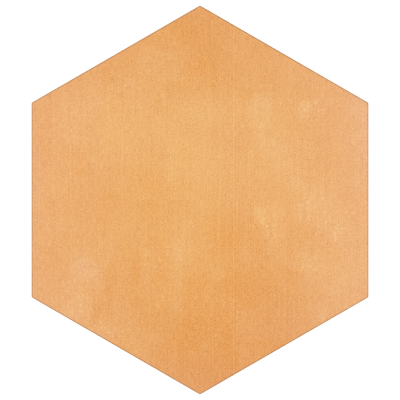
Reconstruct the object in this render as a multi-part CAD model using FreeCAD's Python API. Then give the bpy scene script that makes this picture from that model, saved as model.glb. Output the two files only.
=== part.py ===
"""Hexagonal floor tile of glazed stoneware, dry-pressed and fired as one piece.

The tile lies face up. The origin is the centre of its back, +Z points out of the face and +Y points
at one of the six corners, so two of the six sides face +X and -X. Sizes are in millimetres and
angles in degrees.

The face is flat and its rim is rounded over. Below the rim each side has an upright band, along
which neighbouring tiles face each other, and then draws in towards the back. The back has the
honeycomb of shallow pockets that the lower punch leaves, so that the adhesive can key into it. The
ribs between the pockets and the border around them lie in one plane, and the tile rests on them.
"""

import FreeCAD, Part
import math
import os

Vector = FreeCAD.Vector

# Face and body
across_flats = 216.5      # between opposite sides of the face
thickness = 9.0           # from the plane of the back to the face

# Edge of the tile, from the face down
arris_radius = 1.0        # rounding between the face and the sides
corner_margin = 0.2       # by which the six corners, seen from above, are rounder than the arris
side_land = 3.0           # height of the upright band below the arris
side_taper = 0.5          # how far a side draws in between that band and the back
foot_chamfer = 0.4        # bevel between the sides and the back

# Honeycomb of pockets in the back
cell_pitch = 19.3         # between the centres of neighbouring pockets
rib_width = 3.0           # of the ribs between pockets, in the plane of the back
pocket_depth = 0.9
pocket_draft = 25.0       # lean of the pocket walls, so that the punch comes away cleanly
least_border = 6.5        # narrowest plain border between the pockets and the bevel

# What follows from those sizes
face_apothem = across_flats / 2
corner_radius = arris_radius + corner_margin
taper_top = thickness - arris_radius - side_land
back_apothem = face_apothem - side_taper - foot_chamfer
row_spacing = cell_pitch * math.cos(math.radians(30))
pocket_rings = int((back_apothem - least_border) / row_spacing)
field_apothem = pocket_rings * row_spacing
wall_run = pocket_depth * math.tan(math.radians(pocket_draft))

SIDE_DIRECTIONS = [60 * k for k in range(6)]        # outward normals of the tile's sides
CELL_DIRECTIONS = [30 + 60 * k for k in range(6)]   # outward normals of a pocket's walls


def towards(degrees, distance):
    """The point of the back's plane at that distance from the origin, in that direction."""
    angle = math.radians(degrees)
    return Vector(distance * math.cos(angle), distance * math.sin(angle), 0)


def hexagon(centre, apothem, directions):
    """Corners of a regular hexagon, anticlockwise, whose sides face the given directions."""
    circumradius = apothem / math.cos(math.radians(30))
    return [centre + towards(direction + 30, circumradius) for direction in directions]


def clipped(corners, direction, distance):
    """The part of a convex outline that lies within that distance of the origin, in that direction."""
    normal = towards(direction, 1.0)
    kept = []
    for here, after in zip(corners, corners[1:] + corners[:1]):
        room_here = distance - here.dot(normal)
        room_after = distance - after.dot(normal)
        if room_here >= 0:
            kept.append(here)
        if room_here * room_after < 0:
            kept.append(here + (after - here) * (room_here / (room_here - room_after)))
    return kept


def turns(corners):
    """For each corner of a convex outline: the way in, the way out, and half the angle between them."""
    for before, here, after in zip(corners[-1:] + corners[:-1], corners, corners[1:] + corners[:1]):
        way_in = (here - before).normalize()
        way_out = (after - here).normalize()
        yield here, way_in, way_out, way_in.getAngle(way_out) / 2


def inset(corners, distance):
    """A convex outline with every side moved inwards by that distance."""
    moved = []
    for corner, way_in, way_out, half_turn in turns(corners):
        inwards = (way_out - way_in).normalize()
        moved.append(corner + inwards * (distance / math.cos(half_turn)))
    return moved


def rounded_wire(corners, radius, height):
    """A closed wire along a convex outline at that height, with an arc at each corner."""
    arcs = []
    for corner, way_in, way_out, half_turn in turns(corners):
        corner = corner + Vector(0, 0, height)
        inwards = (way_out - way_in).normalize()
        setback = radius * math.tan(half_turn)
        start = corner - way_in * setback
        middle = corner + inwards * (radius / math.cos(half_turn) - radius)
        end = corner + way_out * setback
        arcs.append(Part.Arc(start, middle, end))
    edges = []
    for arc, following in zip(arcs, arcs[1:] + arcs[:1]):
        edges.append(arc.toShape())
        edges.append(Part.LineSegment(arc.EndPoint, following.StartPoint).toShape())
    return Part.Wire(edges)


def frustum(base, top):
    """A solid with flat faces between two outlines that have as many corners as each other."""
    outlines = [base, top]
    for a, b, c, d in zip(base, base[1:] + base[:1], top[1:] + top[:1], top):
        outlines.append([a, b, c, d])
    faces = [Part.Face(Part.makePolygon(corners + corners[:1])) for corners in outlines]
    return Part.Solid(Part.Shell(faces))


def pressed_blank():
    """The tile with its edge profile and a plain back."""
    profile = [
        (0.0, side_taper + foot_chamfer),
        (foot_chamfer, side_taper),
        (taper_top, 0.0),
        (thickness, 0.0),
    ]
    outlines = []
    for height, drawn_in in profile:
        corners = hexagon(Vector(0, 0, 0), face_apothem - drawn_in, SIDE_DIRECTIONS)
        outlines.append(rounded_wire(corners, corner_radius, height))
    blank = Part.makeLoft(outlines, True, True)
    rim = [edge for edge in blank.Edges if edge.BoundBox.ZMin > thickness - arris_radius / 2]
    return blank.makeFillet(arris_radius, rim)


def cell_centres():
    """Centres of the pockets. Those of the outermost ring lie on the inner line of the border."""
    for q in range(-pocket_rings, pocket_rings + 1):
        for s in range(-pocket_rings, pocket_rings + 1):
            if abs(q + s) <= pocket_rings:
                yield towards(30, q * cell_pitch) + towards(90, s * cell_pitch)


def pocket(centre):
    """One pocket, widest at its mouth. The border cuts off what lies outside its inner line."""
    mouth = hexagon(centre, (cell_pitch - rib_width) / 2, CELL_DIRECTIONS)
    for direction in SIDE_DIRECTIONS:
        mouth = clipped(mouth, direction, field_apothem)
    floor = [corner + Vector(0, 0, pocket_depth) for corner in inset(mouth, wall_run)]
    return frustum(mouth, floor)


def hexagon_tile():
    """The whole tile: the pressed blank less the pockets of its back."""
    pockets = [pocket(centre) for centre in cell_centres()]
    return pressed_blank().cut(Part.Compound(pockets)).Solids[0]


os.makedirs("parts", exist_ok=True)
hexagon_tile().exportStep("parts/hexagon_tile.step")
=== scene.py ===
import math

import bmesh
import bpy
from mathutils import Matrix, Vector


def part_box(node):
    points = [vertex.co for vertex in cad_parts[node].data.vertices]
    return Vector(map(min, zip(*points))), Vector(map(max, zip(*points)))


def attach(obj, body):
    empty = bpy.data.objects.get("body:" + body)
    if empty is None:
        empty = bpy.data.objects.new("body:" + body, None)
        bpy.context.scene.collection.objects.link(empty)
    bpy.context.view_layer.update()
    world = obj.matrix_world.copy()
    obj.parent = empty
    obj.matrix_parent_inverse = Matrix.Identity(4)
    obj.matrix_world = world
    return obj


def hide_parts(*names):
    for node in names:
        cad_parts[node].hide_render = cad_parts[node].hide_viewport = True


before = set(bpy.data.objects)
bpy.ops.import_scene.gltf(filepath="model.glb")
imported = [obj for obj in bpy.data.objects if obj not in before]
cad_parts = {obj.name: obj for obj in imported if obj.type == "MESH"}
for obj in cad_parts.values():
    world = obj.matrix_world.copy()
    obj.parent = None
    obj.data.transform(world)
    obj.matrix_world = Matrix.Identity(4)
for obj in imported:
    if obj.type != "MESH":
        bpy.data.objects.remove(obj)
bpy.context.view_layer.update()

# A hexagonal floor tile: dry-pressed stoneware under a satin glaze, printed in a clouded warm orange
# and fired as one piece. It lies face up, and is modelled as one closed shell in the place of the
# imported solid. The camera looks straight down on it, on white. Lengths are in metres and MM is one
# millimetre. The patterns of the materials are laid out in millimetres from the middle of the tile.

MM = 0.001

# The tile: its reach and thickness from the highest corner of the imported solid, then its edge
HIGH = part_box("hexagon_tile")[1]
APOTHEM = HIGH.x
THICKNESS = HIGH.z
ARRIS_RADIUS = 1.0 * MM
CORNER_RADIUS = 1.2 * MM
TAPER_TOP = 5.0 * MM            # height below which the sides lean in
SIDE_TAPER = 0.5 * MM           # how far they have leaned in at the foot
FOOT_CHAMFER = 0.4 * MM

# The honeycomb of its back
CELL_PITCH = 19.3 * MM
RIB_WIDTH = 3.0 * MM
POCKET_DEPTH = 0.9 * MM
POCKET_DRAFT = math.radians(25)
POCKET_RINGS = 6                # around the middle pocket; the plain border cuts the outermost
RIB_EDGE = 0.25 * MM            # bevel where a rib meets a pocket's wall

SIDES = 6
HALF_CORNER = math.radians(180 / SIDES)         # half the turn from one side to the next
HEXAGON_SHARE = math.cos(HALF_CORNER)           # a hexagon's apothem as a share of its circumradius
FIELD_APOTHEM = POCKET_RINGS * CELL_PITCH * HEXAGON_SHARE
SIDE_TURNS = [math.radians(360 / SIDES * number) for number in range(SIDES)]
SIDE_NORMALS = [Vector((math.cos(turn), math.sin(turn), 0)) for turn in SIDE_TURNS]
ROW_DIRECTIONS = (30, 90)       # two directions, in degrees, in which the cells stand in rows

# How finely the mesh is rounded, and what counts as one place
CORNER_SEGMENTS = 6
ARRIS_SEGMENTS = 8
RIB_EDGE_SEGMENTS = 2
SMOOTH_BELOW = math.radians(25)                 # a sharper edge between two faces stays sharp
TINY = 0.01 * MM


def start_editing(piece):
    """Make that object the only selected one and open its mesh, with nothing selected in it."""
    bpy.ops.object.select_all(action="DESELECT")
    piece.select_set(True)
    bpy.context.view_layer.objects.active = piece
    bpy.ops.object.mode_set(mode="EDIT")
    bpy.ops.mesh.select_all(action="DESELECT")


def select(kind, wanted):
    """Select the open mesh's verts, edges or faces for which wanted is true, and nothing else."""
    bpy.ops.mesh.select_all(action="DESELECT")
    bpy.ops.mesh.select_mode(type={"verts": "VERT", "edges": "EDGE", "faces": "FACE"}[kind])
    mesh = bmesh.from_edit_mesh(bpy.context.edit_object.data)
    for element in getattr(mesh, kind):
        if wanted(element):
            element.select_set(True)
    mesh.select_flush_mode()
    bmesh.update_edit_mesh(bpy.context.edit_object.data)


def stop_editing():
    bpy.ops.object.mode_set(mode="OBJECT")


def lies_at(element, height):
    """Whether an edge or face lies wholly at that height."""
    return all(abs(vertex.co.z - height) < TINY for vertex in element.verts)


def pressed_blank():
    """The tile's face, rounded edge and sides, open below."""
    bpy.ops.object.select_all(action="DESELECT")
    bpy.ops.mesh.primitive_cylinder_add(
        vertices=SIDES,
        radius=APOTHEM / HEXAGON_SHARE,
        depth=THICKNESS,
        end_fill_type="NGON",
        calc_uvs=False,
        location=(0, 0, THICKNESS / 2),
    )
    blank = bpy.context.object
    bpy.ops.object.transform_apply(location=True, rotation=True, scale=True)
    start_editing(blank)

    select("faces", lambda face: lies_at(face, 0))
    bpy.ops.mesh.delete(type="ONLY_FACE")
    select("edges", lambda edge: abs(edge.verts[0].co.z - edge.verts[1].co.z) > TINY)
    setback = CORNER_RADIUS * math.tan(HALF_CORNER)
    bpy.ops.mesh.bevel(offset=setback, segments=CORNER_SEGMENTS, affect="EDGES", clamp_overlap=False)
    select("edges", lambda edge: lies_at(edge, THICKNESS))
    bpy.ops.mesh.bevel(
        offset=ARRIS_RADIUS, segments=ARRIS_SEGMENTS, affect="EDGES", clamp_overlap=False
    )

    for height in (TAPER_TOP, FOOT_CHAMFER):
        bpy.ops.mesh.select_all(action="SELECT")
        bpy.ops.mesh.bisect(plane_co=(0, 0, height), plane_no=(0, 0, 1))
    for height, drawn_in in ((FOOT_CHAMFER, SIDE_TAPER), (0, SIDE_TAPER + FOOT_CHAMFER)):
        select("verts", lambda vertex: abs(vertex.co.z - height) < TINY)
        share = (APOTHEM - drawn_in) / APOTHEM
        bpy.ops.transform.resize(value=(share, share, 1), center_override=(0, 0, 0))
    stop_editing()
    return blank


def honeycomb():
    """The ribs and pockets of the back, facing down: one cell, arrayed, cut to the field, pressed in."""
    bpy.ops.object.select_all(action="DESELECT")
    bpy.ops.mesh.primitive_circle_add(
        vertices=SIDES,
        radius=CELL_PITCH / 2 / HEXAGON_SHARE,
        fill_type="NGON",
        calc_uvs=False,
        rotation=(math.pi, 0, HALF_CORNER),
    )
    sheet = bpy.context.object
    bpy.ops.object.transform_apply(location=True, rotation=True, scale=True)
    first = Vector((0, 0, 0))
    for direction in ROW_DIRECTIONS:
        angle = math.radians(direction)
        step = Vector((math.cos(angle), math.sin(angle), 0)) * CELL_PITCH
        first -= step * POCKET_RINGS
        rows = sheet.modifiers.new("rows", "ARRAY")
        rows.count = 2 * POCKET_RINGS + 1
        rows.use_relative_offset = False
        rows.use_constant_offset = True
        rows.constant_offset_displace = step
        rows.use_merge_vertices = True
        rows.merge_threshold = TINY
        bpy.ops.object.modifier_apply(modifier="rows")
    sheet.location = first
    bpy.ops.object.transform_apply(location=True, rotation=True, scale=True)

    start_editing(sheet)
    for outwards in SIDE_NORMALS:
        bpy.ops.mesh.select_all(action="SELECT")
        cut = outwards * (FIELD_APOTHEM + RIB_WIDTH / 2)
        bpy.ops.mesh.bisect(plane_co=cut, plane_no=outwards, clear_outer=True)
    bpy.ops.mesh.select_all(action="SELECT")
    bpy.ops.mesh.inset(thickness=RIB_WIDTH / 2, use_individual=True)
    wall_run = POCKET_DEPTH * math.tan(POCKET_DRAFT)
    bpy.ops.mesh.inset(thickness=wall_run, depth=-POCKET_DEPTH, use_individual=True)
    select("edges", lambda edge: lies_at(edge, 0) and any(not lies_at(f, 0) for f in edge.link_faces))
    bpy.ops.mesh.bevel(offset=RIB_EDGE, segments=RIB_EDGE_SEGMENTS, affect="EDGES")
    stop_editing()
    return sheet


def joined_tile(blank, back):
    """One closed shell of the blank and its back, with the plain border filled in between them."""
    bpy.ops.object.select_all(action="DESELECT")
    back.select_set(True)
    blank.select_set(True)
    bpy.context.view_layer.objects.active = blank
    bpy.ops.object.join()
    start_editing(blank)
    select("edges", lambda edge: len(edge.link_faces) == 1)
    bpy.ops.mesh.fill(use_beauty=True)
    bpy.ops.mesh.select_all(action="SELECT")
    bpy.ops.mesh.normals_make_consistent(inside=False)
    stop_editing()
    bpy.ops.object.shade_smooth_by_angle(angle=SMOOTH_BELOW)
    blank.name = "glazed_tile"
    blank.data.name = "glazed_tile"
    return blank


# Layout of the tile's own map, in shares of the map's width
FACE_MIDDLE = (0.315, 0.365)
FACE_ACROSS = 0.615             # the face between opposite sides, with the arris unrolled
BACK_MIDDLE = (0.81, 0.22)
BACK_ACROSS = 0.36
SIDES_LEFT = 0.635
SIDES_FOOT = 0.46
SIDES_LENGTH = 0.355
SIDES_STEP = 0.035              # from one side's strip to the next above it
LEVEL = 0.8                     # a polygon whose normal is more upright than this isn't on a side


def reach(place):
    """How far a place lies from the tile's axis towards the nearest of its sides."""
    return max(normal.dot(place) for normal in SIDE_NORMALS)


def place_in_face(corner):
    """A corner of the face or arris on the map, the arris unrolled around the face."""
    flat_reach = APOTHEM - ARRIS_RADIUS
    share = min(max((reach(corner) - flat_reach) / ARRIS_RADIUS, 0), 1)
    spread = 1 + ARRIS_RADIUS * (math.asin(share) - share) / APOTHEM
    scale = spread * FACE_ACROSS / (2 * flat_reach + math.pi * ARRIS_RADIUS)
    return FACE_MIDDLE[0] + corner.x * scale, FACE_MIDDLE[1] + corner.y * scale


def place_in_back(corner):
    """A corner of the back on the map, as seen from below."""
    scale = BACK_ACROSS / (2 * APOTHEM)
    return BACK_MIDDLE[0] - corner.x * scale, BACK_MIDDLE[1] + corner.y * scale


def place_in_side(corner, number):
    """A corner of one of the sides on the map, which has them as strips, one above the other."""
    scale = SIDES_LENGTH / HIGH.y
    along = Vector((0, 0, 1)).cross(SIDE_NORMALS[number]).dot(corner)
    middle = SIDES_LEFT + SIDES_LENGTH / 2
    return middle + along * scale, SIDES_FOOT + number * SIDES_STEP + corner.z * scale


def lay_out_map(tile):
    """The tile's own map: its face at the left, its back at the right and its sides above the back."""
    mesh = tile.data
    layer = mesh.uv_layers.new(name="OFBake").data
    for polygon in mesh.polygons:
        middle = polygon.center
        number = max(range(SIDES), key=lambda k: SIDE_NORMALS[k].dot(middle))
        for loop, vertex in zip(polygon.loop_indices, polygon.vertices):
            corner = mesh.vertices[vertex].co
            if middle.z > THICKNESS - ARRIS_RADIUS:
                layer[loop].uv = place_in_face(corner)
            elif abs(polygon.normal.z) < LEVEL and reach(middle) > FIELD_APOTHEM + RIB_WIDTH:
                layer[loop].uv = place_in_side(corner, number)
            else:
                layer[loop].uv = place_in_back(corner)


def linear(hex_colour):
    """A written sRGB colour as the linear colour that a node takes."""
    channels = [int(hex_colour[k:k + 2], 16) / 255 for k in (1, 3, 5)]
    return [c / 12.92 if c <= 0.04045 else ((c + 0.055) / 1.055) ** 2.4 for c in channels] + [1]


def add(tree, kind, inputs=None, **settings):
    """A new node with those settings. An input is a value, a node's output, or a node with one output."""
    node = tree.nodes.new("ShaderNode" + kind)
    for name, value in settings.items():
        setattr(node, name, value)
    sockets = [socket for socket in node.inputs if socket.enabled]
    for key, value in (inputs or {}).items():
        socket = sockets[key] if isinstance(key, int) else next(s for s in sockets if s.name == key)
        if isinstance(value, bpy.types.Node):
            value = next(output for output in value.outputs if output.enabled)
        if isinstance(value, bpy.types.NodeSocket):
            tree.links.new(value, socket)
        else:
            socket.default_value = value
    return node


NOISE_MIDDLE = 0.5              # what a noise is on average

# Clouds of the print, and the face paler towards its right and left sides: centre, half width and
# half height in millimetres from the middle of the face, turn in degrees anticlockwise, and strength:
# below 0 the orange is deeper and above 0 it is paler.
# Soft clouds fade out slowly, and crisp ones have an edge.
SOFT_CLOUDS = [
    # the large ones: upper half, foot, head, and the face paler towards its right side and a little
    # towards its left
    (-10, 44, 77, 28, 0, 6),
    (8, -95, 42, 40, 0, -12),
    (3, 103, 71, 32, 0, -8),
    (106, 0, 32, 90, 0, 11),
    (-102, 0, 17, 84, 0, 2),
    # left middle, lower right, lower left
    (-53, 0, 39, 19, 0, -4),
    (44, -64, 27, 33, 0, -9),
    (-39, -58, 23, 28, 0, -6),
    # head: by its corner, its streak, along the upper left side, by the upper half
    (-11, 111, 12, 11, 0, -8),
    (5, 92, 9, 26, 5, -7),
    (-55, 84, 14, 6, 30, -6),
    (-12, 69, 14, 5, 0, -3),
    (-24, 88, 17, 12, 0, 6),
    (24, 98, 9, 12, 0, 5),
    (56, 89, 15, 7, -30, 6),
    # upper half
    (21, 40, 14, 9, 0, -4),
    (-70, 67, 8, 8, 0, 3),
    (-80, 53, 13, 17, 0, 4),
    (-54, 42, 13, 13, 0, 2),
    (2, 15, 13, 17, 0, 5),
    (-34, 22, 9, 15, 0, -5),
    # the core and what lies below it
    (19, -22, 17, 17, 0, -12),
    (19, -38, 9, 14, 0, -5),
    (38, -31, 7, 14, 25, -5),
    (28, -54, 23, 11, 0, -8),
    (-3, -57, 10, 14, 0, -9),
    (12, -57, 9, 12, 0, -4),
    (-12, -32, 6, 13, 15, 5),
    (-24, -22, 15, 5, 0, -3),
    # pillars of the lower left
    (-41, -51, 6, 22, 0, -4),
    (-63, -67, 5, 12, -15, -5),
    (-23, -49, 6, 10, 0, -6),
    (-19, -58, 6, 12, 0, 4),
    # foot
    (-28, -75, 12, 9, 0, -7),
    (-4, -81, 17, 12, 0, -8),
    (15, -93, 9, 23, 0, -7),
    (34, -82, 10, 7, 0, 4),
    (48, -94, 13, 8, 0, -8),
    (-7, -93, 10, 9, 0, -4),
    (-19, -97, 14, 9, 0, -6),
    (-1, -111, 17, 9, 0, -6),
    # the pale slant of the upper right
    (40, 57, 9, 14, 0, 4),
    (48, 36, 10, 14, 35, 4),
    (43, 20, 9, 13, 0, 4),
    (60, 16, 10, 14, 10, 5),
    (80, 32, 14, 22, 0, -5),
    # right side
    (71, -5, 13, 12, 20, 6),
    (88, -17, 6, 12, 25, 3),
    (96, 5, 8, 24, 0, -6),
    (106, 47, 9, 31, 0, 9),
    (96, -52, 15, 15, 30, 4),
    (94, -69, 9, 5, 0, 5),
    # lower right
    (46, -14, 7, 15, 30, 4),
    (64, -39, 12, 7, 0, 6),
    (77, -74, 7, 8, 0, 4),
    # left side
    (-75, -45, 11, 13, 0, 7),
    (-80, -70, 14, 12, 0, 7),
    (-64, -82, 12, 7, -30, 7),
    (-90, -33, 8, 11, 0, -5),
    (-100, 42, 8, 24, 0, -6),
    (-78, 22, 9, 12, 0, -5),
    (-101, -40, 7, 14, 0, -4),
    (-101, -62, 9, 6, 0, 4),
]
CRISP_CLOUDS = [
    # the pale slant of the upper right, from its head down
    (38, 56, 8, 12, 8, 8),
    (38, 40, 4, 8, 0, 7),
    (49, 34, 9, 7, 0, 6),
    (53, 21, 6, 7, 0, 5),
    (64.5, 22, 3.5, 6, 0, 4),
    (61.5, 11.5, 4, 5.5, 0, 7),
    # beside it
    (33, 31, 3, 3.5, 0, 4),
    (26.5, 16, 4, 9, 0, 4),
    # spots by the upper right corner
    (67, 58, 5, 6, 0, 10),
    (69.5, 60.5, 2.5, 3, 0, 8),
    (74.6, 63.6, 1.8, 1.8, 0, 12),
    (97, 59, 4, 4, 0, 5),
    (88.5, 41.5, 2.5, 3, 0, 5),
    (76, 50, 6, 6, 0, 4),
    (69, 31.5, 8, 4, 0, 6),
    (100, 33, 3.5, 7, 0, -5),
    # right side
    (72, -2, 3, 4.5, 0, 10),
    (67, -7, 5, 6, 0, 7),
    (72, 4, 9, 2.5, 0, 4),
    (103, 12, 5, 3.5, 0, 5),
    (89, -19, 5, 3.5, 0, 6),
    (85.5, -24.5, 2, 3, 0, 4),
    (64, -22, 11, 8, 0, -4),
    # tongue of the lower right, its tail and its other branch
    (38.5, -10, 3, 8, 30, 10),
    (42, -20, 2.5, 5, 10, 6),
    (45.5, -30, 1.8, 6, -15, 6),
    (52, -33.5, 3, 2.5, 0, 5),
    (50, -9, 3, 9, 0, 6),
    (48, -19, 2.5, 6, 0, 4),
    # lower right
    (68, -41, 4, 4, -15, 7),
    (72, -48, 6, 6, 0, 4),
    (57, -47, 8, 4, 0, -5),
    (66, -56, 4, 4.5, 0, 5),
    (86, -58, 3.5, 6, 0, 5),
    (80, -29, 4.5, 4.5, 0, -5),
    (74.5, -36.5, 2.5, 1.5, 0, 5),
    (77, -44, 6, 2.5, 0, 4),
    (79, -74, 1.6, 4.5, 0, 9),
    # core and lower middle
    (-8, -17, 6, 4, 0, 5),
    (27, -31, 3.5, 9, 0, 5),
    (11, -35, 3.5, 4, 0, -5),
    (1, -41, 6, 4, 0, -4),
    (-5, -29, 3.5, 3.5, 0, 5),
    (12, -47.5, 4.5, 4.5, 0, 8),
    (5, -60, 2.5, 6, 0, 5),
    (22, -67.5, 1.8, 4.5, 0, 4),
    (18, -69, 2.5, 6, 0, -4),
    (27, -74.5, 3, 5, -20, 6),
    (24.5, -83.5, 4, 5, 0, 5),
    (11, -90, 4, 4.5, 0, 5),
    (-8, -80, 5, 4, 0, -5),
    (-3, -94, 5, 3.5, 0, -5),
    (22, -102, 7, 6, 0, -4),
    (3, -98, 1.6, 6, 0, 4),
    # pillars of the lower left
    (-32, -34, 4, 3.5, 0, 4),
    (-26, -38, 6, 4, 0, -4),
    (-30, -28, 8, 4.5, 0, -6),
    (-13, -32, 3.5, 8, 0, 6),
    (-13, -48, 2.5, 13, 0, 4),
    (-17, -67, 4, 4.5, 0, 4),
    (-31, -69, 5, 5, 0, 5),
    (-20, -77, 5, 6, 0, 5),
    (-41, -90, 4, 4.5, 0, 5),
    (-54, -93, 6, 6, 0, -4),
    (-41, -43, 3.5, 12, 0, -6),
    (-36, -51, 4.5, 3.5, 0, 4),
    (-49, -32, 7, 8, 0, -4),
    (-67, -74, 3.5, 8, -10, -11),
    (-36, -66, 9, 4, 0, -4),
    (-45, -78, 4, 3, 0, -5),
    (-57, -53, 4, 15, 0, -6),
    # disc of the left side, and the pale strip below it
    (-74, -44, 9.5, 8, 0, 7),
    (-65, -53, 3, 10, 0, 4),
    (-79, -68, 4, 9, 0, 7),
    (-86, -74, 4.5, 8, 0, 8),
    (-86, -54, 7, 3, 0, 5),
    # left middle
    (-59, -2, 8, 8, 0, -4),
    (-46, 18, 4.5, 4, 0, -6),
    (-62, -17, 6, 8, 0, -5),
    (-96, -5, 4.5, 9, 0, -5),
    (-32, -5, 7, 5, 0, -5),
    (-38.5, 13, 1.6, 5, 0, -4),
    (-29, 7, 6, 5, 0, -4),
    (-28, -12, 5.5, 6, 0, -4),
    (-10, 8, 5, 2, 0, -4),
    # upper left
    (-70, 45, 4, 5, 0, -4),
    (-93, 66, 5, 7, 0, -4),
    (-77, 56, 5, 4.5, 0, 4),
    (-85, 32, 6, 5, 0, -5),
    (-97, 22, 4.5, 6, 0, -5),
    (-56, 25, 4, 4, 0, 6),
    (-62, 61, 4, 4, 0, 4),
    (-46, 59, 7.5, 3, 0, 4),
    (-45, 74, 4, 4, 0, 6),
    (-97.5, 31, 1.8, 6, 0, -7),
    (-74, 23, 3, 7, 0, -5),
    (-68.5, 26, 2.5, 3, 0, 7),
    # upper middle and the upper left side
    (-22.5, 64, 2, 4.5, 20, 8),
    (-8.5, 63.5, 4.5, 3, 0, 4),
    (7, 27, 3.5, 4, 0, 4),
    (-17, 20, 6, 8, 0, 4),
    (19, 76, 5.5, 5.5, 0, -5),
    (-25, 60, 5, 6, 0, -6),
    (3, 57, 10, 8, 0, 5),
    (-51, 67, 5, 1.5, -30, -4),
    (-36.5, 88, 1.5, 5, 0, 4),
    (-53, 82, 4, 3, 0, 5),
    # head
    (0, 87, 4, 6, 0, -3),
    (-3, 117, 4, 3.5, 0, 6),
    (-8, 98, 5, 3.5, 0, -5),
    (-7, 86, 4, 10, 0, -4),
    (-17, 102, 4, 4, 0, 7),
    (31, 68, 8, 4, 0, -5),
    (8.5, 78, 3, 9, 0, -5),
    (-14, 72.5, 10, 4, 0, -4),
]
SOFT_FADE = (0, 1.7)            # shares of a cloud's half size at which it begins and ends to fade
CRISP_FADE = (0.7, 1.2)
SOFT_WANDER = (9, 12)           # size of the waves of the clouds' outlines, and how far they can push
CRISP_WANDER = (3.5, 7)
WANDER_ROUGHNESS = 0.65
PRINT_DETAIL = 5                # how many ever finer layers the print's noises have
MOTTLE = (14, 17, 0.58)         # finer clouding all over: size, strength and roughness
STRENGTH_RANGE = 24             # strength at which the print's palest and deepest colours are reached

# Clouds of its hue, in the same form: above 0 the orange is yellower and below 0 it is pinker
HUE_CLOUDS = [
    # the whole face, yellower than its rim
    (-5, 8, 98, 114, 0, 9),
    # upper half
    (-30, 104, 22, 12, 30, 2),
    (-54, 50, 12, 20, 0, 1.5),
    (24, 39, 15, 10, 0, -2),
    (100, 68, 14, 10, 0, -2),
    # left and right side
    (-68, 5, 12, 25, 0, -1),
    (-106, 10, 6, 60, 0, -2),
    (106, 45, 10, 32, 0, -2),
    (85, -42, 15, 12, 0, 2),
    # middle
    (26, -6, 12, 24, 0, -2),
    (39, -11, 4, 9, 30, 2),
    (42, -36, 13, 10, 0, -1.5),
    (31, -52, 8, 8, 0, -2),
    (-19, -60, 10, 12, 0, 1.5),
    # lower left, lower right and foot
    (-74, -43, 10, 8, 0, -3),
    (-48, -98, 13, 14, 0, 2),
    (50, -76, 22, 18, 0, -1.5),
    (2, -118, 32, 16, 0, -3),
]
RIM_HUE = -5.5                  # hue beyond all of them
HUE_MOTTLE = (9, 5, 0.5)
HUE_RANGE = 5                   # hue at which the yellow and the pink tones are reached

YELLOW_DEEP = "#E49B44"
YELLOW_PALE = "#ECB874"
PINK_DEEP = "#DF944B"
PINK_PALE = "#E8B07B"


def strayed(tree, flat, wander_size, wander_reach):
    """Places pushed about by a noise, so that what is drawn at them gets a ragged outline."""
    wander = add(
        tree,
        "TexNoise",
        {
            "Vector": flat,
            "Scale": 1 / wander_size,
            "Detail": PRINT_DETAIL,
            "Roughness": WANDER_ROUGHNESS,
        },
    )
    push = add(
        tree, "VectorMath", {0: wander.outputs["Color"], 1: (NOISE_MIDDLE,) * 3}, operation="SUBTRACT"
    )
    pushed = add(
        tree, "VectorMath", {0: push, 1: (wander_reach,) * 3, 2: flat}, operation="MULTIPLY_ADD"
    )
    return add(tree, "VectorMath", {0: pushed, 1: (1, 1, 0)}, operation="MULTIPLY")


def clouded(tree, place, clouds, fade):
    """The strengths of the clouds that reach a place, added up."""
    core, rim = fade
    total = 0.0
    for x, y, half_width, half_height, turn, strength in clouds:
        centred = add(
            tree,
            "Mapping",
            {
                "Vector": place,
                "Location": (x, y, 0),
                "Rotation": (0, 0, math.radians(turn)),
                "Scale": (half_width * rim, half_height * rim, 1),
            },
            vector_type="TEXTURE",
        )
        ball = add(tree, "TexGradient", {"Vector": centred}, gradient_type="SPHERICAL")
        faded = add(
            tree,
            "MapRange",
            {"Value": ball.outputs["Fac"], "From Max": 1 - core / rim, "To Max": strength},
            interpolation_type="SMOOTHERSTEP",
        )
        total = add(tree, "Math", {0: faded, 1: total}, operation="ADD")
    return total


def with_mottle(tree, flat, value, size, strength, roughness):
    """A value with a noise added to it that is 0 on average."""
    mottle = add(
        tree,
        "TexNoise",
        {"Vector": flat, "Scale": 1 / size, "Detail": PRINT_DETAIL, "Roughness": roughness},
    )
    centred = add(tree, "Math", {0: mottle, 1: NOISE_MIDDLE}, operation="SUBTRACT")
    return add(tree, "Math", {0: centred, 1: strength, 2: value}, operation="MULTIPLY_ADD")


def printed_orange(tree, flat):
    """Colour under the glaze: the clouded inkjet print, and the face paler towards its right and left
    sides.
    """
    soft_places = strayed(tree, flat, *SOFT_WANDER)
    crisp_places = strayed(tree, flat, *CRISP_WANDER)
    soft = clouded(tree, soft_places, SOFT_CLOUDS, SOFT_FADE)
    crisp = clouded(tree, crisp_places, CRISP_CLOUDS, CRISP_FADE)
    depth = add(tree, "Math", {0: soft, 1: crisp}, operation="ADD")
    depth = with_mottle(tree, flat, depth, *MOTTLE)
    hue = clouded(tree, soft_places, HUE_CLOUDS, SOFT_FADE)
    hue = with_mottle(tree, flat, hue, *HUE_MOTTLE)
    paleness = add(
        tree,
        "MapRange",
        {"Value": depth, "From Min": -STRENGTH_RANGE, "From Max": STRENGTH_RANGE},
        clamp=False,
    )
    yellowness = add(
        tree,
        "MapRange",
        {"Value": hue, "From Min": -HUE_RANGE - RIM_HUE, "From Max": HUE_RANGE - RIM_HUE},
        clamp=False,
    )
    tones = []
    for pink, yellow in ((PINK_DEEP, YELLOW_DEEP), (PINK_PALE, YELLOW_PALE)):
        tone = add(
            tree,
            "Mix",
            {"Factor": yellowness, "A": linear(pink), "B": linear(yellow)},
            data_type="RGBA",
            clamp_factor=False,
        )
        tones.append(tone)
    return add(
        tree,
        "Mix",
        {"Factor": paleness, "A": tones[0], "B": tones[1]},
        data_type="RGBA",
        clamp_factor=False,
    )


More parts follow.
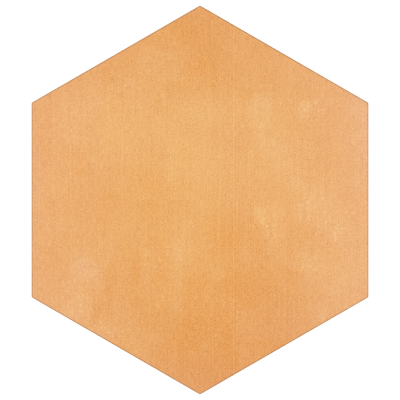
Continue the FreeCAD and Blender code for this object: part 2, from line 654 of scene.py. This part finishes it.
# Fine lights and shades on the print, in steps of about a 255th of full brightness
SHADE_TONE = "#DFE8B3"          # what a lighter shade adds to the orange
SHADE_STEP = 0.0075             # how much of that is one step
NOZZLE_LINES = [                # left by single print nozzles: place on X, from and to on Y, steps
    (-103.1, -60, 60, 2.5),
    (-95.4, 45, 90, -4),
    (-94.3, 0, 90, 4),
    (-85.4, 0, 70, 3),
    (-83.9, -45, 10, -4),
    (-83.1, -80, 45, 3),
    (-77.4, 45, 85, -2.5),
    (-74.2, 0, 85, 3),
    (-35.0, -45, 105, 2.5),
    (-31.1, -110, 110, -2),
    (-20.9, -110, 110, -1.5),
    (-15.7, -110, 110, 2.5),
    (8.1, -120, -45, 4),
    (9.3, -120, 120, -2),
    (12.6, -50, 60, 3.5),
    (20.8, -120, 120, -1.5),
    (21.6, -120, 120, 5.5),
    (22.8, -120, 120, -4),
    (23.5, -20, 120, 3),
    (24.8, -120, 120, -2.5),
    (31.8, -45, 20, 4),
    (32.6, -45, 0, -5),
    (40.8, -45, 45, 2.5),
    (46.0, -45, 0, 3.5),
    (54.3, -90, 90, 2),
    (56.2, -90, 0, -3),
    (58.2, -90, 45, -3.5),
    (58.9, 0, 90, 5),
    (59.6, 45, 90, -3),
    (62.7, 0, 45, 3),
    (75.5, -45, 60, 2),
    (79.4, 0, 80, 2.5),
    (82.0, -75, 75, -2),
    (96.2, -60, 60, -1.5),
]
NOZZLE_LINE_WIDTH = 0.7
SHADE_NOISES = [                # width on X, length on Y, detail and steps
    (0.55, 45, 1, 17),          # fainter lines of the nozzles beside one another, all over
    (0.55, 5, 1, 28),           # the same, but short
    (0.5, 1.1, 1, 62),          # grain of the satin glaze, drawn as coarse as it needs to show
    (0.15, 0.15, 1, 30),        # dots of the print
    (6, 6, 2, 4),               # soft unevenness of the glaze
]
SPECKS = [                      # one to a cell at most: size of a cell, radius and steps
    (8, 0.5, 12),
    (5.5, 0.35, 10),
    (11, 0.4, -10),
]

# Where pale flecks gather: centre, half width and half height, turn, and steps
FLECK_CLOUDS = [
    (-62, -78, 30, 12, -30, 15),
    (-76, -52, 12, 18, 0, 9),
    (-48, 74, 34, 14, 28, 10),
    (-83, 40, 14, 22, 0, 9),
    (69, 58, 11, 9, 0, 16),
    (72, -4, 18, 14, -20, 15),
    (88, -22, 10, 9, 0, 15),
    (68, -41, 14, 7, 0, 16),
    (45, -18, 8, 18, 25, 11),
    (-24, -38, 18, 12, 0, 12),
    (12, -72, 24, 24, 0, 11),
    (80, -70, 8, 9, 0, 15),
]
FLECKS_EVERYWHERE = 2
FLECK_SIZE = 2.2
FLECK_DETAIL = 4
FLECK_ROUGHNESS = 0.6
FLECK_LEAST = 0.57              # a noise above the first makes a fleck, which is whole at the second
FLECK_WHOLE = 0.65


def fine_shades(tree, flat):
    """Steps of light and shade that the print's lines, the glaze's grain and its specks add."""
    axes = add(tree, "SeparateXYZ", {0: flat}).outputs
    steps = 0.0
    for x, low, high, strength in NOZZLE_LINES:
        line = add(tree, "Math", {0: axes["X"], 1: x, 2: NOZZLE_LINE_WIDTH / 2}, operation="COMPARE")
        stretch = add(
            tree, "Math", {0: axes["Y"], 1: (low + high) / 2, 2: (high - low) / 2}, operation="COMPARE"
        )
        printed = add(tree, "Math", {0: line, 1: stretch}, operation="MULTIPLY")
        steps = add(tree, "Math", {0: printed, 1: strength, 2: steps}, operation="MULTIPLY_ADD")
    for width, length, detail, strength in SHADE_NOISES:
        stretched = add(tree, "Mapping", {"Vector": flat, "Scale": (1 / width, 1 / length, 1)})
        noise = add(tree, "TexNoise", {"Vector": stretched, "Scale": 1, "Detail": detail})
        centred = add(tree, "Math", {0: noise, 1: NOISE_MIDDLE}, operation="SUBTRACT")
        steps = add(tree, "Math", {0: centred, 1: strength, 2: steps}, operation="MULTIPLY_ADD")
    for cell, radius, strength in SPECKS:
        cells = add(tree, "TexVoronoi", {"Vector": flat, "Scale": 1 / cell})
        speck = add(
            tree,
            "MapRange",
            {"Value": cells.outputs["Distance"], "From Max": radius / cell, "To Min": 1, "To Max": 0},
        )
        steps = add(tree, "Math", {0: speck, 1: strength, 2: steps}, operation="MULTIPLY_ADD")
    gathered = clouded(tree, flat, FLECK_CLOUDS, SOFT_FADE)
    strength = add(tree, "Math", {0: gathered, 1: FLECKS_EVERYWHERE}, operation="ADD")
    noise = add(
        tree,
        "TexNoise",
        {
            "Vector": flat,
            "Scale": 1 / FLECK_SIZE,
            "Detail": FLECK_DETAIL,
            "Roughness": FLECK_ROUGHNESS,
        },
    )
    fleck = add(tree, "MapRange", {"Value": noise, "From Min": FLECK_LEAST, "From Max": FLECK_WHOLE})
    return add(tree, "Math", {0: fleck, 1: strength, 2: steps}, operation="MULTIPLY_ADD")


# The fired body, bare on the back and low on the sides
BODY_BUFF = "#CDB598"
BODY_SHADE = "#B59C7E"
IRON_BROWN = "#6E5038"
KILN_WASH = "#E3DACB"
BODY_ROUGHNESS = 0.85
BODY_CLOUD_SIZE = 7
BODY_CLOUD_DETAIL = 5
BODY_CLOUD_SPAN = (0.35, 0.65)  # of the clouds' noise, from all buff to all shade
IRON_CELL = 4.0                 # one iron speck to a cell at most
IRON_RADIUS = 0.22
IRON_SHARE = 0.8                # how much of the brown the middle of a speck takes on
GRIT_SIZE = 0.55                # grit of the pressed powder
GRIT_DETAIL = 3
GRIT_ROUGHNESS = 0.7
GRIT_HEIGHT = 0.06
DRAG_WIDTH = 0.5                # lines that the die draws up the sides as the tile leaves it
DRAG_LENGTH = 30
DRAG_DETAIL = 2
LIGHTS_SPAN = (0.7, 1.3)        # of grit and lines added up, from darkest to lightest
BODY_LIGHTS = (0.85, 1.15)      # how far they darken and lighten the body
WASH_TOP = 0.2                  # height up to which the rollers lay the kiln wash on the ribs
WEAR_SIZE = 12
WEAR_DETAIL = 6
WEAR_ROUGHNESS = 0.7
WEAR_SPAN = (0.38, 0.58)        # of its noise, from most worn to least
WASH_LEFT = (0.1, 0.85)         # how much of the wash the wear leaves, at least and at most


def bare_body(tree, here, height):
    """Colour and relief of the unglazed body: dry buff stoneware with grit, iron specks and kiln wash."""
    cloud = add(
        tree,
        "TexNoise",
        {"Vector": here, "Scale": 1 / BODY_CLOUD_SIZE, "Detail": BODY_CLOUD_DETAIL},
    )
    low, high = BODY_CLOUD_SPAN
    contrast = add(tree, "MapRange", {"Value": cloud, "From Min": low, "From Max": high})
    buff = add(
        tree,
        "Mix",
        {"Factor": contrast, "A": linear(BODY_BUFF), "B": linear(BODY_SHADE)},
        data_type="RGBA",
    )
    drawn_up = add(
        tree, "Mapping", {"Vector": here, "Scale": (1 / DRAG_WIDTH, 1 / DRAG_WIDTH, 1 / DRAG_LENGTH)}
    )
    drag = add(tree, "TexNoise", {"Vector": drawn_up, "Scale": 1, "Detail": DRAG_DETAIL})
    grit = add(
        tree,
        "TexNoise",
        {"Vector": here, "Scale": 1 / GRIT_SIZE, "Detail": GRIT_DETAIL, "Roughness": GRIT_ROUGHNESS},
    )
    shade = add(tree, "Math", {0: drag, 1: grit}, operation="ADD")
    low, high = LIGHTS_SPAN
    darkest, lightest = BODY_LIGHTS
    light = add(
        tree,
        "MapRange",
        {"Value": shade, "From Min": low, "From Max": high, "To Min": darkest, "To Max": lightest},
    )
    buff = add(tree, "VectorMath", {0: buff, "Scale": light}, operation="SCALE")
    cells = add(tree, "TexVoronoi", {"Vector": here, "Scale": 1 / IRON_CELL})
    iron = add(
        tree,
        "MapRange",
        {
            "Value": cells.outputs["Distance"],
            "From Max": IRON_RADIUS / IRON_CELL,
            "To Min": IRON_SHARE,
            "To Max": 0,
        },
    )
    buff = add(tree, "Mix", {"Factor": iron, "A": buff, "B": linear(IRON_BROWN)}, data_type="RGBA")

    wear = add(
        tree,
        "TexNoise",
        {"Vector": here, "Scale": 1 / WEAR_SIZE, "Detail": WEAR_DETAIL, "Roughness": WEAR_ROUGHNESS},
    )
    low, high = WEAR_SPAN
    least, most = WASH_LEFT
    left = add(
        tree,
        "MapRange",
        {"Value": wear, "From Min": low, "From Max": high, "To Min": least, "To Max": most},
    )
    rolled = add(tree, "MapRange", {"Value": height, "From Min": WASH_TOP, "From Max": WASH_TOP / 2})
    wash = add(tree, "Math", {0: rolled, 1: left}, operation="MULTIPLY")
    colour = add(tree, "Mix", {"Factor": wash, "A": buff, "B": linear(KILN_WASH)}, data_type="RGBA")
    relief = add(tree, "Math", {0: grit, 1: GRIT_HEIGHT}, operation="MULTIPLY")
    return colour, relief


# The glaze
GLAZE_FOOT = 6.4                # height on the sides at which it ends
GLAZE_RUNS = 2.6                # how far its lower limit wanders
GLAZE_RUN_SIZE = 5
GLAZE_RUN_DETAIL = 4
GLAZE_EDGE = 0.12               # its thickness at that limit
GLAZE_FADE = 0.1                # distance over which it thins out there
SPATTER_SIZE = 0.5
SPATTER_DETAIL = 0
SPATTER_THINNING = 0.05         # how much rarer it gets with each millimetre below the limit
SPATTER_SPAN = (0.62, 0.66)     # of its noise, from bare body to a drop of glaze
ARRIS_PAINTED_SHADE = "#905A2A"         # painted shade: a dark brown along the arris, where it turns away from the light
ARRIS_SHADE_START = (0.005, 0.1)      # depths below the face between which the print gives way to the painted shade
ARRIS_SHADE_END = (0.17, 0.35)       # depths between which the painted shade gives way to the glaze of the sides
SIDE_ORANGE = "#F0A050"         # the glaze on the sides, which has no print
SIDE_TAN = "#BC9160"            # the same where it thins, lower down
SIDE_TAN_SIZE = 1.6             # size of the thin patches
SIDE_TAN_DETAIL = 4
SIDE_TAN_SPAN = 0.6             # of the patches' noise, up to the thinnest
SIDE_TAN_SHARE = 0.8
SIDE_THICKENING = 0.25          # how much less thin it is with each millimetre above the limit
PEEL_SIZE = 1.8                 # soft waves of the fired surface
PEEL_DETAIL = 2
PEEL_HEIGHT = 0.012
SATIN = (0.4, 0.5)              # roughness where it shines most and least
SATIN_SIZE = 16
SATIN_DETAIL = 3
SATIN_SPAN = (0.3, 0.7)         # of its noise, from shiniest to dullest
GLAZE_IOR = 1.5


def passed(tree, height, depths):
    """0 above the first of two depths below the face and 1 below the second."""
    first, second = [THICKNESS / MM - depth for depth in depths]
    return add(
        tree,
        "MapRange",
        {"Value": height, "From Min": first, "From Max": second},
        interpolation_type="SMOOTHSTEP",
    )


def glazed_stoneware():
    """Buff stoneware under a satin glaze: an even low sheen, a trace of orange peel and a dark brown
    arris, which is painted shade.
    """
    material = bpy.data.materials.new("glazed_stoneware")
    material.use_nodes = True
    tree = material.node_tree
    tree.nodes.clear()
    place = add(tree, "TexCoord").outputs["Object"]
    here = add(tree, "VectorMath", {0: place, "Scale": 1 / MM}, operation="SCALE")
    flat = add(tree, "VectorMath", {0: here, 1: (1, 1, 0)}, operation="MULTIPLY")
    height = add(tree, "SeparateXYZ", {0: here}).outputs["Z"]

    steps = fine_shades(tree, flat)
    amount = add(tree, "Math", {0: steps, 1: SHADE_STEP}, operation="MULTIPLY")
    orange = add(
        tree,
        "VectorMath",
        {0: amount, 1: linear(SHADE_TONE)[:3], 2: printed_orange(tree, flat)},
        operation="MULTIPLY_ADD",
    )

    runs = add(
        tree,
        "TexNoise",
        {"Vector": here, "Scale": 1 / GLAZE_RUN_SIZE, "Detail": GLAZE_RUN_DETAIL},
    )
    limit = add(
        tree,
        "Math",
        {0: runs, 1: GLAZE_RUNS, 2: GLAZE_FOOT - GLAZE_RUNS / 2},
        operation="MULTIPLY_ADD",
    )
    above = add(tree, "Math", {0: height, 1: limit}, operation="SUBTRACT")
    coat = add(
        tree,
        "MapRange",
        {"Value": above, "From Min": -GLAZE_FADE, "From Max": GLAZE_FADE},
        interpolation_type="SMOOTHSTEP",
    )
    patches = add(
        tree,
        "TexNoise",
        {"Vector": here, "Scale": 1 / SIDE_TAN_SIZE, "Detail": SIDE_TAN_DETAIL},
    )
    sunk = add(tree, "Math", {0: above, 1: -SIDE_THICKENING, 2: patches}, operation="MULTIPLY_ADD")
    thin = add(tree, "MapRange", {"Value": sunk, "From Max": SIDE_TAN_SPAN, "To Max": SIDE_TAN_SHARE})
    side = add(
        tree,
        "Mix",
        {"Factor": thin, "A": linear(SIDE_ORANGE), "B": linear(SIDE_TAN)},
        data_type="RGBA",
    )
    # painted shade on the arris: the print gives way to dark brown, and that to the glaze of the sides
    into_painted_shade = passed(tree, height, ARRIS_SHADE_START)
    past_painted_shade = passed(tree, height, ARRIS_SHADE_END)
    edge = add(tree, "Mix", {"Factor": past_painted_shade, "A": linear(ARRIS_PAINTED_SHADE), "B": side}, data_type="RGBA")
    glaze = add(tree, "Mix", {"Factor": into_painted_shade, "A": orange, "B": edge}, data_type="RGBA")
    drops = add(
        tree,
        "TexNoise",
        {"Vector": here, "Scale": 1 / SPATTER_SIZE, "Detail": SPATTER_DETAIL},
    )
    thrown = add(tree, "Math", {0: above, 1: SPATTER_THINNING, 2: drops}, operation="MULTIPLY_ADD")
    low, high = SPATTER_SPAN
    spatter = add(tree, "MapRange", {"Value": thrown, "From Min": low, "From Max": high})
    glazed = add(tree, "Math", {0: coat, 1: spatter}, operation="MAXIMUM")

    body, relief = bare_body(tree, here, height)
    colour = add(tree, "Mix", {"Factor": glazed, "A": body, "B": glaze}, data_type="RGBA")

    peel = add(tree, "TexNoise", {"Vector": here, "Scale": 1 / PEEL_SIZE, "Detail": PEEL_DETAIL})
    waves = add(tree, "Math", {0: peel, 1: PEEL_HEIGHT, 2: GLAZE_EDGE}, operation="MULTIPLY_ADD")
    surface = add(tree, "Mix", {"Factor": glazed, "A": relief, "B": waves})
    bump = add(tree, "Bump", {"Height": surface, "Distance": MM})
    sheen = add(tree, "TexNoise", {"Vector": here, "Scale": 1 / SATIN_SIZE, "Detail": SATIN_DETAIL})
    low, high = SATIN_SPAN
    shiniest, dullest = SATIN
    satin = add(
        tree,
        "MapRange",
        {"Value": sheen, "From Min": low, "From Max": high, "To Min": shiniest, "To Max": dullest},
    )
    roughness = add(tree, "Mix", {"Factor": glazed, "A": BODY_ROUGHNESS, "B": satin})
    shader = add(
        tree,
        "BsdfPrincipled",
        {"Base Color": colour, "Roughness": roughness, "IOR": GLAZE_IOR, "Normal": bump},
    )
    add(tree, "OutputMaterial", {"Surface": shader})
    return material


# The studio
WHITE = (1, 1, 1, 1)
FLOOR_REACH = 3                 # from the tile's axis to the floor's sides
FLOOR_OPENING = APOTHEM - 2 * MM                # it reaches a little under the foot, with no gap
SKY_LIGHT = 0.5                 # share of the light that comes from all round
FLOOR_PAPER = 0.8               # how much light the floor throws back onto the tile
FLOOR_SHADE = 0.3               # how much of the light on it, and so of its shadow, the camera sees
FLOOR_GLOW = 1 - FLOOR_SHADE * SKY_LIGHT        # what makes it white where only the sky lights it
LAMP_OUT = 0.75                 # of each lamp, to the left or right of the tile
LAMP_HEIGHT = 0.85
LAMP_SIZE = 0.6
LAMP_WATTS = 4.7
LENS = 85 * MM                  # focal length, which sets how far above the tile the camera is
SENSOR = 36 * MM
FRAME_WIDTH = 257.05 * MM       # what the frame takes in where the tile is widest


def seen_directly(tree):
    """1 for what the camera, a reflection or glass shows, and 0 for light that falls on a surface."""
    rays = add(tree, "LightPath").outputs
    seen = add(tree, "Math", {0: rays["Is Camera Ray"], 1: rays["Is Glossy Ray"]}, operation="MAXIMUM")
    return add(tree, "Math", {0: seen, 1: rays["Is Transmission Ray"]}, operation="MAXIMUM")


def light_the_studio():
    """Soft light from all round, and a large soft lamp on the left and one on the right."""
    world = bpy.data.worlds.new("studio")
    world.use_nodes = True
    tree = world.node_tree
    tree.nodes.clear()
    strength = add(tree, "MapRange", {"Value": seen_directly(tree), "To Min": SKY_LIGHT, "To Max": 1})
    sky = add(tree, "Background", {"Color": WHITE, "Strength": strength})
    add(tree, "OutputWorld", {"Surface": sky})
    bpy.context.scene.world = world
    for side in (-1, 1):
        lamp = bpy.data.lights.new("soft_box", "AREA")
        lamp.shape = "SQUARE"
        lamp.size = LAMP_SIZE
        lamp.energy = LAMP_WATTS
        soft_box = bpy.data.objects.new("soft_box", lamp)
        bpy.context.scene.collection.objects.link(soft_box)
        soft_box.location = (side * LAMP_OUT, 0, LAMP_HEIGHT)
        soft_box.rotation_euler = soft_box.location.to_track_quat("Z", "Y").to_euler()
        soft_box.visible_camera = False


def lay_the_floor():
    """A white floor that takes the tile's shadow, open under the tile to show its back from below."""
    bpy.ops.object.select_all(action="DESELECT")
    bpy.ops.mesh.primitive_circle_add(
        vertices=SIDES,
        radius=FLOOR_REACH / HEXAGON_SHARE,
        fill_type="NGON",
        location=(0, 0, -TINY),
    )
    floor = bpy.context.object
    floor.name = "floor"
    start_editing(floor)
    bpy.ops.mesh.select_all(action="SELECT")
    bpy.ops.mesh.inset(thickness=FLOOR_REACH - FLOOR_OPENING)
    bpy.ops.mesh.delete(type="ONLY_FACE")
    stop_editing()
    material = bpy.data.materials.new("white_floor")
    material.use_nodes = True
    tree = material.node_tree
    tree.nodes.clear()
    paper = add(tree, "BsdfDiffuse", {"Color": [FLOOR_PAPER] * 3 + [1]})
    shaded = add(tree, "BsdfDiffuse", {"Color": [FLOOR_SHADE] * 3 + [1]})
    glow = add(tree, "Emission", {"Color": WHITE, "Strength": FLOOR_GLOW})
    white = add(tree, "AddShader", {0: shaded, 1: glow})
    surface = add(tree, "MixShader", {0: seen_directly(tree), 1: paper, 2: white})
    add(tree, "OutputMaterial", {"Surface": surface})
    floor.data.materials.append(material)


def set_up_the_camera():
    """The camera straight above the tile, with the photograph's framing."""
    camera = bpy.data.cameras.new("camera")
    camera.lens = LENS / MM
    camera.sensor_width = SENSOR / MM
    seat = bpy.data.objects.new("camera", camera)
    bpy.context.scene.collection.objects.link(seat)
    seat.location = (0, 0, THICKNESS - ARRIS_RADIUS + FRAME_WIDTH * LENS / SENSOR)
    bpy.context.scene.camera = seat


set_up_the_camera()
light_the_studio()
lay_the_floor()

tile = joined_tile(pressed_blank(), honeycomb())
lay_out_map(tile)
tile.data.materials.clear()
tile.data.materials.append(glazed_stoneware())
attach(tile, "root")
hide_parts("hexagon_tile")

bpy.context.scene.view_settings.view_transform = "Standard"
